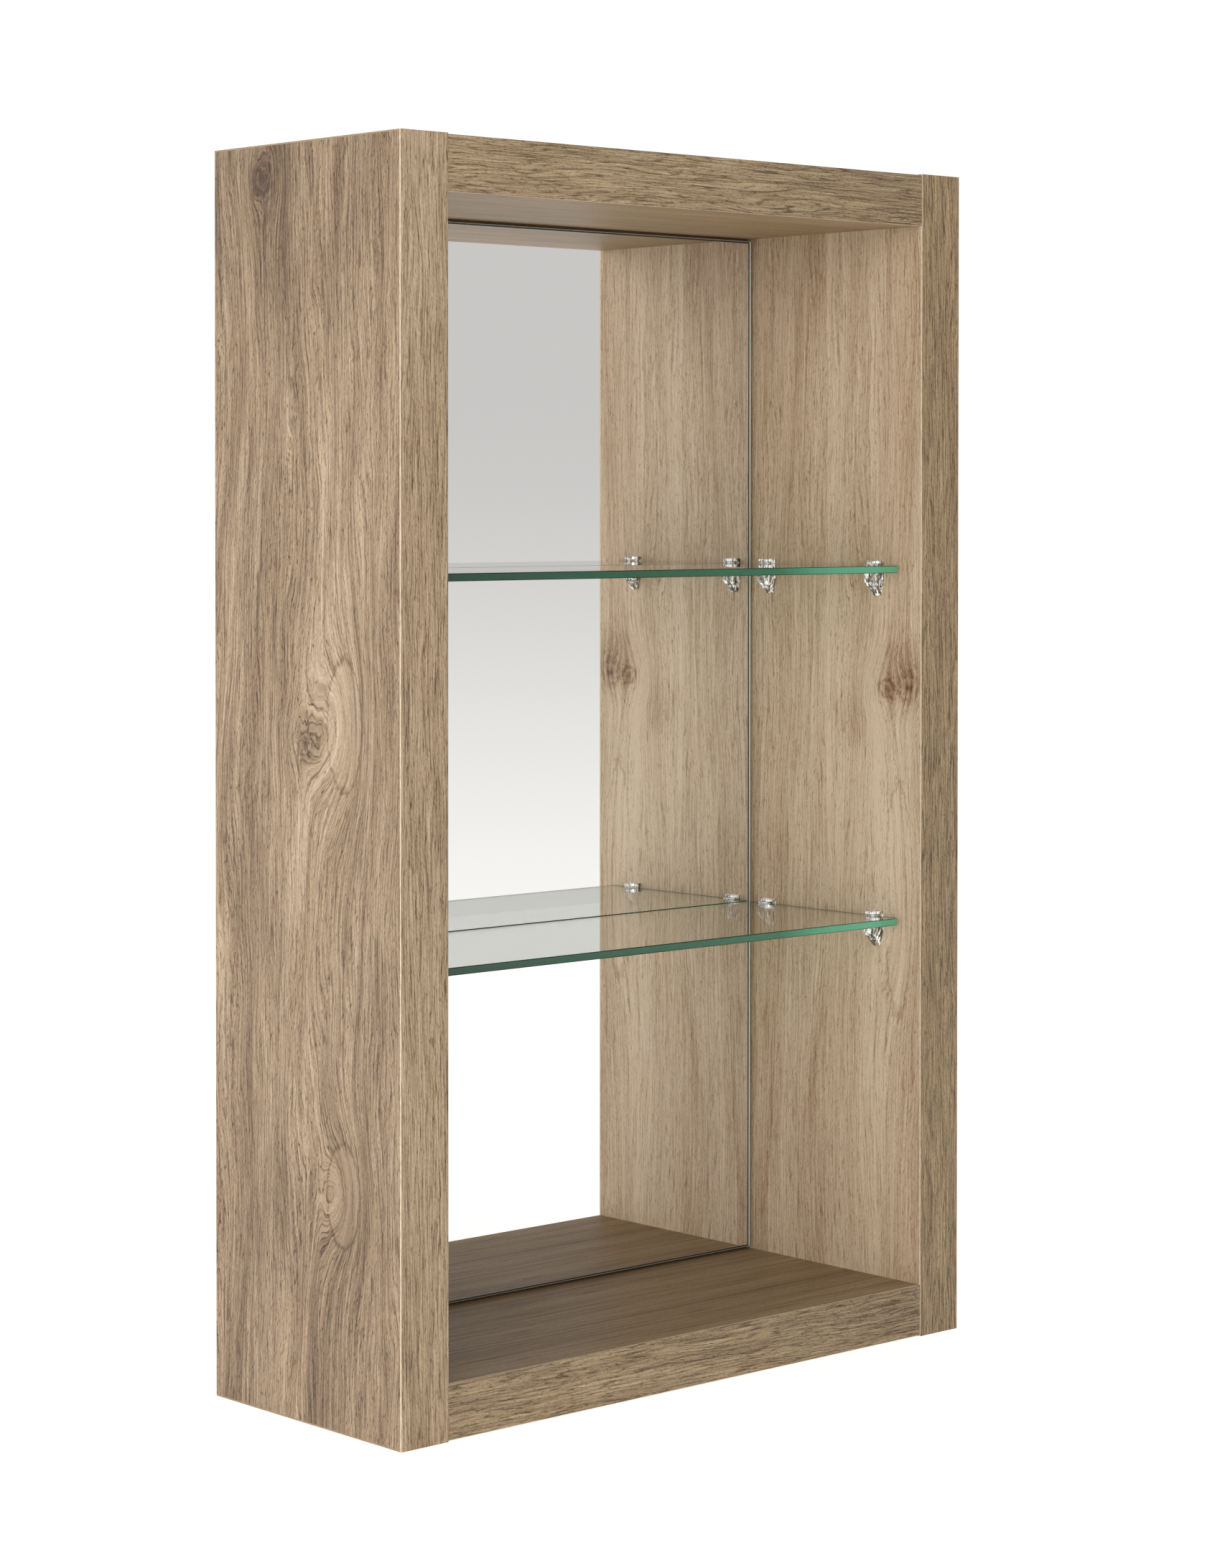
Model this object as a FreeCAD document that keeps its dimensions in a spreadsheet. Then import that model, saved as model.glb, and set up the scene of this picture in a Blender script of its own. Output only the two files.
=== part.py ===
import FreeCAD, Part
import os
import Sketcher

# A wall-hung display case: two thick oak-decor sides, a top and a bottom board between
# them, a mirror on a thin back panel, and two glass shelves held by clear plastic clips.
# Millimetres. X runs to the right, Y to the back and Z up. The origin is at the middle
# of the base, so the case stands on Z = 0.

doc = FreeCAD.newDocument("display_case")
sheet = doc.addObject("Spreadsheet::Sheet", "dims")


class Size:
    """A number from the sheet, or worked out from it, that carries its own formula."""

    def __init__(self, text, number):
        self.text = text
        self.number = number

    def __add__(self, other):
        return Size("(%s + %s)" % (self.text, text_of(other)), self.number + number_of(other))

    def __sub__(self, other):
        return Size("(%s - %s)" % (self.text, text_of(other)), self.number - number_of(other))

    def __mul__(self, other):
        return Size("(%s * %s)" % (self.text, text_of(other)), self.number * number_of(other))

    def __truediv__(self, other):
        return Size("(%s / %s)" % (self.text, text_of(other)), self.number / number_of(other))

    def __neg__(self):
        return self * -1

    __radd__ = __add__


def text_of(value):
    return value.text if isinstance(value, Size) else repr(float(value))


def number_of(value):
    return value.number if isinstance(value, Size) else value


def bind(item, prop, value):
    item.setExpression(prop, text_of(value))


def driving(name, number, note):
    """Put one driving dimension on the next row of the sheet."""
    driving.row += 1
    sheet.set("A%d" % driving.row, note)
    sheet.set("B%d" % driving.row, repr(number))
    sheet.setAlias("B%d" % driving.row, name)
    return Size("dims." + name, number)


driving.row = 0

# Case
case_width = driving("case_width", 400.0, "outside width")
case_depth = driving("case_depth", 150.0, "outside depth")
case_height = driving("case_height", 640.0, "outside height")
side_thick = driving("side_thick", 30.0, "side panel thickness")
board_thick = driving("board_thick", 28.0, "top and bottom board thickness")
board_shy = driving("board_shy", 0.5, "how far the boards stand inside the ends of the sides")
front_shy = driving("front_shy", 0.4, "how far the boards stand behind the front of the sides")
band_thick = driving("band_thick", 1.0, "front edge band thickness")
band_round = driving("band_round", 0.4, "rounding of the front edge bands")
end_band_thick = driving("end_band_thick", 0.8, "thickness of the bands on the ends of the sides")
# Back and mirror
mirror_setback = driving("mirror_setback", 131.0, "front of the case to the front of the mirror")
mirror_thick = driving("mirror_thick", 4.0, "mirror glass thickness")
mirror_gap = driving("mirror_gap", 1.5, "gap round the mirror")
mirror_arris = driving("mirror_arris", 0.5, "ground edge of the mirror")
tape_thick = driving("tape_thick", 1.0, "mounting tape thickness")
tape_width = driving("tape_width", 19.0, "mounting tape width")
tape_length = driving("tape_length", 500.0, "mounting tape length")
tape_spacing = driving("tape_spacing", 125.0, "mounting tape spacing")
back_thick = driving("back_thick", 3.0, "back panel thickness")
groove_depth = driving("groove_depth", 8.0, "depth of the groove for the back panel")
groove_play = driving("groove_play", 0.1, "play each side of the back panel in its groove")
back_bite = driving("back_bite", 7.5, "how far the back panel enters its groove")
groove_stop = driving("groove_stop", 20.0, "ends of the side grooves from the ends of the sides")
# Shelves
shelf_thick = driving("shelf_thick", 4.0, "glass shelf thickness")
shelf_side_gap = driving("shelf_side_gap", 2.0, "gap at each end of a shelf")
shelf_setback = driving("shelf_setback", 15.0, "front of the case to the front of a shelf")
shelf_back_gap = driving("shelf_back_gap", 1.5, "gap between a shelf and the mirror")
shelf_corner = driving("shelf_corner", 1.2, "dubbed corner of a shelf")
shelf_arris = driving("shelf_arris", 0.4, "ground arris of a shelf")
lower_height = driving("lower_height", 226.0, "underside of the lower shelf")
upper_height = driving("upper_height", 421.0, "underside of the upper shelf")
# Shelf clips
clip_front = driving("clip_front", 32.5, "front of the case to the middle of a front clip")
clip_spacing = driving("clip_spacing", 84.0, "front clip to rear clip")
clip_width = driving("clip_width", 8.0, "clip width")
clip_reach = driving("clip_reach", 8.0, "reach of the ledge from the wall")
clip_drop = driving("clip_drop", 13.0, "depth of the clip below the glass")
clip_web = driving("clip_web", 1.7, "wall plate thickness beside the glass")
ledge_high = driving("ledge_high", 5.4, "ledge height")
seat_gap = driving("seat_gap", 0.05, "play between ledge and glass")
grip_gap = driving("grip_gap", 0.1, "play between finger and glass")
finger_reach = driving("finger_reach", 7.0, "reach of the upper finger")
finger_thick = driving("finger_thick", 2.4, "upper finger thickness")
finger_lead = driving("finger_lead", 1.6, "lead-in at the tip of the finger")
split_wide = driving("split_wide", 0.6, "flexing groove width")
split_deep = driving("split_deep", 1.5, "flexing groove depth")
lobe_gap = driving("lobe_gap", 2.6, "gap between the ledge's two lobes")
lobe_long = driving("lobe_long", 3.2, "length of the lobes")
lobe_round = driving("lobe_round", 1.2, "rounding of the lobes")
tip_width = driving("tip_width", 4.8, "width of the lower tip")
tip_round = driving("tip_round", 1.9, "rounding of the lower tip")
pin_radius = driving("pin_radius", 2.45, "clip pin radius")
pin_long = driving("pin_long", 9.0, "clip pin length")
pin_drop = driving("pin_drop", 6.0, "clip pin below the glass")
pin_hole_radius = driving("pin_hole_radius", 2.5, "clip hole radius")
pin_hole_deep = driving("pin_hole_deep", 10.0, "clip hole depth")
# Corner joints
cam_first = driving("cam_first", 21.0, "front of the case to the first cam")
cam_spacing = driving("cam_spacing", 96.0, "front cam to rear cam")
dowel_first = driving("dowel_first", 53.0, "front of the case to the first dowel")
dowel_spacing = driving("dowel_spacing", 32.0, "front dowel to rear dowel")
cam_inset = driving("cam_inset", 24.0, "end of a board to the middle of a cam")
cam_bore_radius = driving("cam_bore_radius", 7.5, "cam bore radius")
cam_bore_deep = driving("cam_bore_deep", 19.0, "cam bore depth")
cam_radius = driving("cam_radius", 7.4, "cam radius")
cam_high = driving("cam_high", 17.4, "cam height")
cam_sink = driving("cam_sink", 1.3, "top of a cam below the board's face")
cam_slot = driving("cam_slot", 7.4, "opening in a cam for the head of its bolt")
cross_long = driving("cross_long", 6.4, "driver cross length")
cross_wide = driving("cross_wide", 1.2, "driver cross width")
cross_deep = driving("cross_deep", 2.2, "driver cross depth")
bolt_hole_radius = driving("bolt_hole_radius", 4.0, "hole for a cam bolt in a board's end")
thread_radius = driving("thread_radius", 3.0, "cam bolt thread radius")
thread_long = driving("thread_long", 11.0, "cam bolt thread length")
thread_hole_radius = driving("thread_hole_radius", 3.05, "hole for the thread in a side")
thread_hole_deep = driving("thread_hole_deep", 12.0, "depth of the hole for the thread")
bolt_radius = driving("bolt_radius", 2.3, "cam bolt shank radius")
bolt_neck_radius = driving("bolt_neck_radius", 1.5, "cam bolt neck radius")
bolt_head_radius = driving("bolt_head_radius", 3.2, "cam bolt head radius")
bolt_head_long = driving("bolt_head_long", 3.0, "cam bolt head length")
bolt_neck_long = driving("bolt_neck_long", 4.0, "cam bolt neck length")
cap_radius = driving("cap_radius", 8.6, "cover cap radius")
cap_thick = driving("cap_thick", 0.4, "cover cap flange thickness")
cap_plug_radius = driving("cap_plug_radius", 7.3, "cover cap plug radius")
cap_plug_deep = driving("cap_plug_deep", 0.8, "cover cap plug depth")
dowel_radius = driving("dowel_radius", 4.0, "dowel radius")
dowel_long = driving("dowel_long", 30.0, "dowel length")
dowel_hole_radius = driving("dowel_hole_radius", 4.05, "dowel hole radius")
dowel_in_side = driving("dowel_in_side", 13.0, "dowel length inside a side")
dowel_spare = driving("dowel_spare", 1.0, "spare depth at each end of a dowel")
# Hanger plates
plate_on_side = driving("plate_on_side", 18.0, "hanger plate lap on the side's rear edge")
plate_on_board = driving("plate_on_board", 17.5, "hanger plate lap on the top board's edge")
plate_inwards = driving("plate_inwards", 22.0, "hanger plate reach inwards from the side")
plate_downwards = driving("plate_downwards", 27.5, "hanger plate reach below the top board")
plate_thick = driving("plate_thick", 1.5, "hanger plate thickness")
plate_corner = driving("plate_corner", 3.0, "hanger plate corner rounding")
plate_play = driving("plate_play", 0.15, "play round the plate in its recess")
plate_sink = driving("plate_sink", 0.1, "plate below the rear edges")
keyhole_inwards = driving("keyhole_inwards", 11.0, "keyhole inwards from the side")
keyhole_below = driving("keyhole_below", 19.0, "keyhole entry below the top board")
keyhole_radius = driving("keyhole_radius", 4.5, "keyhole entry radius")
keyhole_slot_radius = driving("keyhole_slot_radius", 2.2, "half width of the keyhole's slot")
keyhole_rise = driving("keyhole_rise", 9.0, "keyhole entry to the top centre of its slot")
screw_outwards = driving("screw_outwards", 11.0, "screws outwards from the side's inner face")
screw_inwards = driving("screw_inwards", 12.0, "screw inwards from the side's inner face")
screw_above = driving("screw_above", 11.0, "upper screws above the top board's underside")
screw_below = driving("screw_below", 19.5, "lower screw below the top board's underside")
screw_radius = driving("screw_radius", 1.75, "hanger screw radius")
screw_hole_radius = driving("screw_hole_radius", 1.9, "screw hole radius in the plate")
screw_sink = driving("screw_sink", 1.3, "countersink in the plate")
screw_play = driving("screw_play", 0.1, "play between screw head and countersink")
screw_long = driving("screw_long", 22.0, "hanger screw length")
screw_tip = driving("screw_tip", 4.0, "hanger screw point length")
pilot_radius = driving("pilot_radius", 1.8, "pilot hole radius")
pilot_deep = driving("pilot_deep", 24.0, "pilot hole depth")
screw_cross_long = driving("screw_cross_long", 3.4, "cross recess length")
screw_cross_wide = driving("screw_cross_wide", 0.8, "cross recess width")
screw_cross_deep = driving("screw_cross_deep", 1.3, "cross recess depth")
overrun = driving("overrun", 0.5, "how far a cut starts outside what it cuts")

doc.recompute()

# Planes worked out from the driving dimensions
base = case_height - case_height
outer_x = case_width / 2
inner_x = outer_x - side_thick
front_y = -(case_depth / 2)
rear_y = case_depth / 2
mirror_y = front_y + mirror_setback
tape_y = mirror_y + mirror_thick
back_y = tape_y + tape_thick
bottom_top = board_shy + board_thick
top_under = case_height - board_shy - board_thick
board_front = front_y + front_shy
cam_ys = [front_y + cam_first, front_y + cam_first + cam_spacing]
dowel_ys = [front_y + dowel_first, front_y + dowel_first + dowel_spacing]
clip_ys = {"front": front_y + clip_front, "rear": front_y + clip_front + clip_spacing}
shelf_heights = {"upper": upper_height, "lower": lower_height}
hands = {"left": -1, "right": 1}
cam_xs = [(inner_x - cam_inset) * hand for hand in hands.values()]
board_middles = {"top": top_under + board_thick / 2, "bottom": board_shy + board_thick / 2}
pieces = []


def new_body(label):
    body = doc.addObject("PartDesign::Body", label)
    body.Label = label
    return body


def keep(item):
    """Mark an object as one finished piece of the case."""
    pieces.append(item)
    return item


def new_sketch(body, role, offset=0):
    """A sketch on one of the body's origin planes, moved along that plane's normal."""
    plane = [item for item in body.Origin.OriginFeatures if item.Role == role][0]
    sketch = body.newObject("Sketcher::SketchObject", body.Label + "_sketch")
    sketch.AttachmentSupport = [(plane, "")]
    sketch.MapMode = "FlatFace"
    bind(sketch, "AttachmentOffset.Base.z", offset)
    return sketch


def pin_point(sketch, shape, end, point):
    """Hold one end of a sketch line, or a circle's centre, at a place from the sheet."""
    for kind, value in zip(("DistanceX", "DistanceY"), point):
        held = Sketcher.Constraint(kind, -1, 1, shape, end, number_of(value))
        index = sketch.addConstraint(held)
        bind(sketch, "Constraints[%d]" % index, value)


def draw_polygon(sketch, corners):
    places = [FreeCAD.Vector(number_of(x), number_of(y), 0) for x, y in corners]
    lines = []
    for start, end in zip(places, places[1:] + places[:1]):
        lines.append(sketch.addGeometry(Part.LineSegment(start, end), False))
    for line, following in zip(lines, lines[1:] + lines[:1]):
        sketch.addConstraint(Sketcher.Constraint("Coincident", line, 2, following, 1))
    for line, corner in zip(lines, corners):
        pin_point(sketch, line, 1, corner)


def draw_rectangle(sketch, low, high):
    corners = [low, (high[0], low[1]), high, (low[0], high[1])]
    draw_polygon(sketch, corners)


def draw_circle(sketch, centre, radius):
    place = FreeCAD.Vector(number_of(centre[0]), number_of(centre[1]), 0)
    ring = Part.Circle(place, FreeCAD.Vector(0, 0, 1), number_of(radius))
    circle = sketch.addGeometry(ring, False)
    pin_point(sketch, circle, 3, centre)
    held = sketch.addConstraint(Sketcher.Constraint("Radius", circle, number_of(radius)))
    bind(sketch, "Constraints[%d]" % held, radius)


def pad(body, sketch, length, backwards=False):
    feature = body.newObject("PartDesign::Pad", body.Label + "_pad")
    feature.Profile = sketch
    feature.Reversed = backwards
    bind(feature, "Length", length)
    doc.recompute()
    return feature


def cut(body, sketch, depth, along_normal=False):
    """A pocket; it cuts against the sketch's normal unless along_normal is set."""
    before = body.Shape.Volume
    feature = body.newObject("PartDesign::Pocket", body.Label + "_pocket")
    feature.Profile = sketch
    feature.Reversed = along_normal
    bind(feature, "Length", depth)
    doc.recompute()
    if not body.Shape.Volume < before - 1e-6:
        raise RuntimeError("a pocket in %s cuts nothing" % body.Label)
    return feature


def edges_where(shape, test):
    return ["Edge%d" % (index + 1) for index, edge in enumerate(shape.Edges) if test(edge)]


def dress(body, kind, size_name, size, test):
    """A fillet or chamfer on the edges that pass a test."""
    base = body.Tip
    names = edges_where(base.Shape, test)
    feature = body.newObject("PartDesign::" + kind, body.Label + "_" + kind.lower())
    feature.Base = (base, names)
    bind(feature, size_name, size)
    doc.recompute()
    return feature


def runs_along(edge, axis):
    """True where an edge is straight and runs along one axis (0, 1 or 2)."""
    if not isinstance(edge.Curve, Part.Line):
        return False
    direction = edge.Vertexes[-1].Point - edge.Vertexes[0].Point
    return abs(direction[axis]) > 0.999 * direction.Length


def all_at(edge, axis, value):
    return all(abs(vertex.Point[axis] - number_of(value)) < 1e-4 for vertex in edge.Vertexes)


def move(item, x=0, y=0, z=0, turn=0, turn_axis=(0, 0, 1)):
    spin = FreeCAD.Rotation(FreeCAD.Vector(*turn_axis), turn)
    item.Placement = FreeCAD.Placement(FreeCAD.Vector(0, 0, 0), spin)
    for name, value in (("x", x), ("y", y), ("z", z)):
        bind(item, "Placement.Base." + name, value)


def plain_box(label, low, high):
    """A plain block between two corners."""
    block = doc.addObject("Part::Box", label)
    block.Label = label
    for name, start, end in zip(("Length", "Width", "Height"), low, high):
        bind(block, name, end - start)
    move(block, *low)
    return block


def joined_group(label, members):
    """Separate solids that share one node."""
    group = doc.addObject("Part::Compound", label)
    group.Label = label
    group.Links = members
    return keep(group)


# Rear corners, where the hanger plates are let in

def plate_corners(hand, play=0):
    """Two opposite corners of a hanger plate, seen from behind."""
    lower = ((inner_x - plate_inwards - play) * hand, top_under - plate_downwards - play)
    upper = ((inner_x + plate_on_side + play) * hand, top_under + plate_on_board + play)
    return lower, upper


def screw_places(hand):
    """The screws of one plate: two in the side's rear edge and one in the top board's."""
    side_x = (inner_x + screw_outwards) * hand
    return {
        "side_low": (side_x, top_under - screw_below),
        "side_high": (side_x, top_under + screw_above),
        "board": ((inner_x - screw_inwards) * hand, top_under + screw_above),
    }


def let_in_plate(body, hand):
    """Cut the shallow recess for a hanger plate, and the pilot holes, in one board."""
    recess = new_sketch(body, "XZ_Plane", -rear_y)
    draw_rectangle(recess, *plate_corners(hand, plate_play))
    cut(body, recess, plate_thick + plate_sink, along_normal=True)
    pilots = new_sketch(body, "XZ_Plane", -rear_y)
    in_side = body.Label.startswith("side")
    for name, place in screw_places(hand).items():
        if name.startswith("side") == in_side:
            draw_circle(pilots, place, pilot_radius)
    cut(body, pilots, pilot_deep, along_normal=True)


# Sides

def side_panel(name, hand):
    """A side: a thick board, drilled on its inner face and let in for its hanger plate."""
    body = new_body("side_panel_" + name)
    face = inner_x * hand
    outline = new_sketch(body, "YZ_Plane", face)
    low = (front_y + band_thick, end_band_thick)
    high = (rear_y, case_height - end_band_thick)
    draw_rectangle(outline, low, high)
    pad(body, outline, side_thick, backwards=hand < 0)

    def drill(centres, radius, depth):
        holes = new_sketch(body, "YZ_Plane", face)
        for centre in centres:
            draw_circle(holes, centre, radius)
        cut(body, holes, depth, along_normal=hand > 0)

    clip_holes = [(y, z - pin_drop) for y in clip_ys.values() for z in shelf_heights.values()]
    drill(clip_holes, pin_hole_radius, pin_hole_deep)
    bolt_holes = [(y, z) for y in cam_ys for z in board_middles.values()]
    drill(bolt_holes, thread_hole_radius, thread_hole_deep)
    dowel_holes = [(y, z) for y in dowel_ys for z in board_middles.values()]
    drill(dowel_holes, dowel_hole_radius, dowel_in_side + dowel_spare)

    groove = new_sketch(body, "YZ_Plane", face)
    groove_low = (back_y - groove_play, groove_stop)
    groove_high = (back_y + back_thick + groove_play, case_height - groove_stop)
    draw_rectangle(groove, groove_low, groove_high)
    cut(body, groove, groove_depth, along_normal=hand > 0)

    let_in_plate(body, hand)
    return keep(body)


def end_band(name, hand, where, under):
    """The thin band on the upper or lower end of a side."""
    start_x = inner_x if hand > 0 else -outer_x
    low = (start_x, front_y + band_thick, under)
    high = (start_x + side_thick, rear_y, under + end_band_thick)
    return keep(plain_box("end_band_%s_%s" % (name, where), low, high))


def front_band(label, low, high, front):
    """A front edge band with its long front edges slightly rounded."""
    body = new_body(label)
    outline = new_sketch(body, "XZ_Plane", -(front + band_thick))
    draw_rectangle(outline, low, high)
    pad(body, outline, band_thick)
    long_axis = 2 if number_of(high[1] - low[1]) > number_of(high[0] - low[0]) else 0

    def is_front_edge(edge):
        return runs_along(edge, long_axis) and all_at(edge, 1, front)

    dress(body, "Fillet", "Radius", band_round, is_front_edge)
    return keep(body)


# Top and bottom boards

def board(name, under, outer_face, inner_face):
    """A board between the sides; its cams are let in from outside, the back from inside."""
    body = new_body(name + "_panel")
    up = 1 if name == "top" else -1
    middle = board_middles[name]
    outline = new_sketch(body, "XY_Plane", under)
    draw_rectangle(outline, (-inner_x, board_front + band_thick), (inner_x, rear_y))
    pad(body, outline, board_thick)

    for hand in hands.values():
        end = inner_x * hand
        bolt_holes = new_sketch(body, "YZ_Plane", end)
        for y in cam_ys:
            draw_circle(bolt_holes, (y, middle), bolt_hole_radius)
        cut(body, bolt_holes, cam_inset, along_normal=hand < 0)
        dowel_holes = new_sketch(body, "YZ_Plane", end)
        for y in dowel_ys:
            draw_circle(dowel_holes, (y, middle), dowel_hole_radius)
        depth = dowel_long - dowel_in_side + dowel_spare
        cut(body, dowel_holes, depth, along_normal=hand < 0)

    cam_bores = new_sketch(body, "XY_Plane", outer_face)
    for x in cam_xs:
        for y in cam_ys:
            draw_circle(cam_bores, (x, y), cam_bore_radius)
    cut(body, cam_bores, cam_bore_deep, along_normal=up < 0)

    groove = new_sketch(body, "XY_Plane", inner_face)
    groove_low = (-inner_x, back_y - groove_play)
    groove_high = (inner_x, back_y + back_thick + groove_play)
    draw_rectangle(groove, groove_low, groove_high)
    cut(body, groove, groove_depth, along_normal=up > 0)
    if name == "top":
        for hand in hands.values():
            let_in_plate(body, hand)
    return keep(body)


# Glass

def mirror():
    body = new_body("mirror")
    outline = new_sketch(body, "XZ_Plane", -tape_y)
    half = inner_x - mirror_gap
    draw_rectangle(outline, (-half, bottom_top + mirror_gap), (half, top_under - mirror_gap))
    pad(body, outline, mirror_thick)
    dress(body, "Chamfer", "Size", mirror_arris, lambda edge: all_at(edge, 1, mirror_y))
    return keep(body)


def glass_shelf(name, height):
    """A shelf with dubbed corners and a fine ground arris along every edge."""
    body = new_body("glass_shelf_" + name)
    outline = new_sketch(body, "XY_Plane", height)
    half = inner_x - shelf_side_gap
    low = (-half, front_y + shelf_setback)
    high = (half, mirror_y - shelf_back_gap)
    draw_rectangle(outline, low, high)
    pad(body, outline, shelf_thick)
    dress(body, "Chamfer", "Size", shelf_corner, lambda edge: runs_along(edge, 2))

    def is_rim(edge):
        return all_at(edge, 2, height) or all_at(edge, 2, height + shelf_thick)

    dress(body, "Chamfer", "Size", shelf_arris, is_rim)
    return keep(body)


# Shelf clips

def shelf_clip(label, hand, y, height):
    """A clear clip: pin, wall plate, two-lobed ledge on a gusset, and a gripping finger.

    It is drawn with X leading away from the wall and Z = 0 at the underside of the glass,
    then turned to face away from its own wall.
    """
    body = new_body(label)
    finger_under = shelf_thick + grip_gap
    finger_top = finger_under + finger_thick
    ledge_top = -seat_gap
    ledge_under = ledge_top - ledge_high
    gusset_foot = clip_web + seat_gap * 4
    lead = finger_lead
    side_view = [
        (0, -clip_drop),
        (gusset_foot, -clip_drop),
        (clip_reach - lobe_round, ledge_under),
        (clip_reach, ledge_under),
        (clip_reach, ledge_top),
        (clip_web, ledge_top),
        (clip_web, finger_under),
        (finger_reach - lead, finger_under),
        (finger_reach, finger_under + lead * 0.65),
        (finger_reach, finger_top - lead * 0.2),
        (finger_reach - lead * 0.5, finger_top),
        (0, finger_top),
    ]
    profile = new_sketch(body, "XZ_Plane", -(clip_width / 2))
    draw_polygon(profile, side_view)
    pad(body, profile, clip_width)

    # Below the ledge the plate and gusset narrow to the tip
    tip = new_sketch(body, "YZ_Plane", -overrun)
    for side in (-1, 1):
        tip_cut = [
            ((clip_width / 2 + overrun) * side, ledge_under),
            (clip_width / 2 * side, ledge_under),
            (tip_width / 2 * side, -clip_drop * 0.8),
            (tip_width / 2 * side, -(clip_drop + overrun)),
            ((clip_width / 2 + overrun) * side, -(clip_drop + overrun)),
        ]
        draw_polygon(tip, tip_cut)
    cut(body, tip, clip_reach + overrun * 2, along_normal=True)

    notch = new_sketch(body, "XY_Plane", ledge_top + overrun)
    notch_low = (clip_reach - lobe_long, -(lobe_gap / 2))
    notch_high = (clip_reach + overrun, lobe_gap / 2)
    draw_rectangle(notch, notch_low, notch_high)
    cut(body, notch, ledge_high + overrun * 2)

    split = new_sketch(body, "XY_Plane", finger_top)
    split_low = (clip_web + split_wide / 2, -(clip_width / 2 + overrun))
    split_high = (clip_web + split_wide * 1.5, clip_width / 2 + overrun)
    draw_rectangle(split, split_low, split_high)
    cut(body, split, split_deep)

    def is_lobe_end(edge):
        return runs_along(edge, 2) and all_at(edge, 0, clip_reach)

    dress(body, "Fillet", "Radius", lobe_round, is_lobe_end)

    def is_finger_end(edge):
        return runs_along(edge, 2) and all_at(edge, 0, finger_reach)

    dress(body, "Fillet", "Radius", finger_lead, is_finger_end)

    def is_tip_edge(edge):
        return runs_along(edge, 0) and all_at(edge, 2, -clip_drop)

    dress(body, "Fillet", "Radius", tip_round, is_tip_edge)

    pin = new_sketch(body, "YZ_Plane")
    draw_circle(pin, (0, -pin_drop), pin_radius)
    pad(body, pin, pin_long, backwards=True)
    dress(body, "Chamfer", "Size", overrun, lambda edge: all_at(edge, 0, -pin_long))
    move(body, x=inner_x * hand, y=y, z=height, turn=180 if hand > 0 else 0)
    return keep(body)


# Corner joints

def cam_bolt(name, hand, y, middle):
    """A cam bolt on the X axis: thread in the side, shank, neck and head inside the cam."""
    body = new_body("cam_bolt_" + name)
    head_end = cam_inset + bolt_head_long / 2
    head_start = head_end - bolt_head_long
    neck_start = head_start - bolt_neck_long
    outline = new_sketch(body, "XZ_Plane")
    half_section = [
        (-thread_long, 0),
        (-thread_long, thread_radius * 0.7),
        (-thread_long * 0.85, thread_radius),
        (0, thread_radius),
        (0, bolt_radius),
        (neck_start, bolt_radius),
        (neck_start + bolt_neck_radius / 2, bolt_neck_radius),
        (head_start, bolt_neck_radius),
        (head_start, bolt_head_radius),
        (head_end - bolt_neck_radius / 2, bolt_head_radius),
        (head_end, bolt_neck_radius),
        (head_end, 0),
    ]
    draw_polygon(outline, half_section)
    turned = body.newObject("PartDesign::Revolution", body.Label + "_turned")
    turned.Profile = outline
    turned.ReferenceAxis = (outline, ["H_Axis"])
    turned.Angle = 360
    doc.recompute()
    move(body, x=inner_x * hand, y=y, z=middle, turn=180 if hand > 0 else 0)
    return body


def cam(name, hand, x, y, face, up):
    """A cam: a drum in its bore, open on one side for the bolt's head, with a driver cross.

    It is drawn with Z = 0 at the board's outer face and the drum below it.
    """
    body = new_body("cam_" + name)
    drum = new_sketch(body, "XY_Plane", -(cam_sink + cam_high))
    draw_circle(drum, (0, 0), cam_radius)
    pad(body, drum, cam_high)
    opening = new_sketch(body, "YZ_Plane", -cam_bore_radius)
    middle = -(board_thick / 2)
    draw_rectangle(opening, (-(cam_slot / 2), middle - cam_slot / 2),
                   (cam_slot / 2, middle + cam_slot / 2))
    cut(body, opening, cam_bore_radius + bolt_head_long, along_normal=True)
    for wide, deep in ((cross_long, cross_wide), (cross_wide, cross_long)):
        cross = new_sketch(body, "XY_Plane", -cam_sink)
        draw_rectangle(cross, (-(wide / 2), -(deep / 2)), (wide / 2, deep / 2))
        cut(body, cross, cross_deep)
    # The opening faces the side panel; below the case the drum is turned upside down
    if up > 0:
        move(body, x=x, y=y, z=face, turn=180 if hand > 0 else 0)
    else:
        axis = (0, 1, 0) if hand > 0 else (1, 0, 0)
        move(body, x=x, y=y, z=face, turn=180, turn_axis=axis)
    return body


def cam_cap(name, x, y, face, up):
    """A cover cap: a thin flange on the board's face and a shallow plug in the bore."""
    body = new_body("cam_cap_" + name)
    flange = new_sketch(body, "XY_Plane")
    draw_circle(flange, (0, 0), cap_radius)
    pad(body, flange, cap_thick)
    plug = new_sketch(body, "XY_Plane")
    draw_circle(plug, (0, 0), cap_plug_radius)
    pad(body, plug, cap_plug_deep, backwards=True)
    dress(body, "Chamfer", "Size", cap_thick / 2, lambda edge: all_at(edge, 2, cap_thick))
    move(body, x=x, y=y, z=face, turn=0 if up > 0 else 180, turn_axis=(1, 0, 0))
    return body


def dowel(name, hand, y, middle):
    """A plain wooden dowel with chamfered ends, across the joint."""
    body = new_body("dowel_" + name)
    ring = new_sketch(body, "YZ_Plane", -dowel_in_side)
    draw_circle(ring, (0, 0), dowel_radius)
    pad(body, ring, dowel_long)
    dress(body, "Chamfer", "Size", dowel_spare, lambda edge: not runs_along(edge, 0))
    move(body, x=inner_x * hand, y=y, z=middle, turn=180 if hand > 0 else 0)
    return body


# Hanger plates

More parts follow.
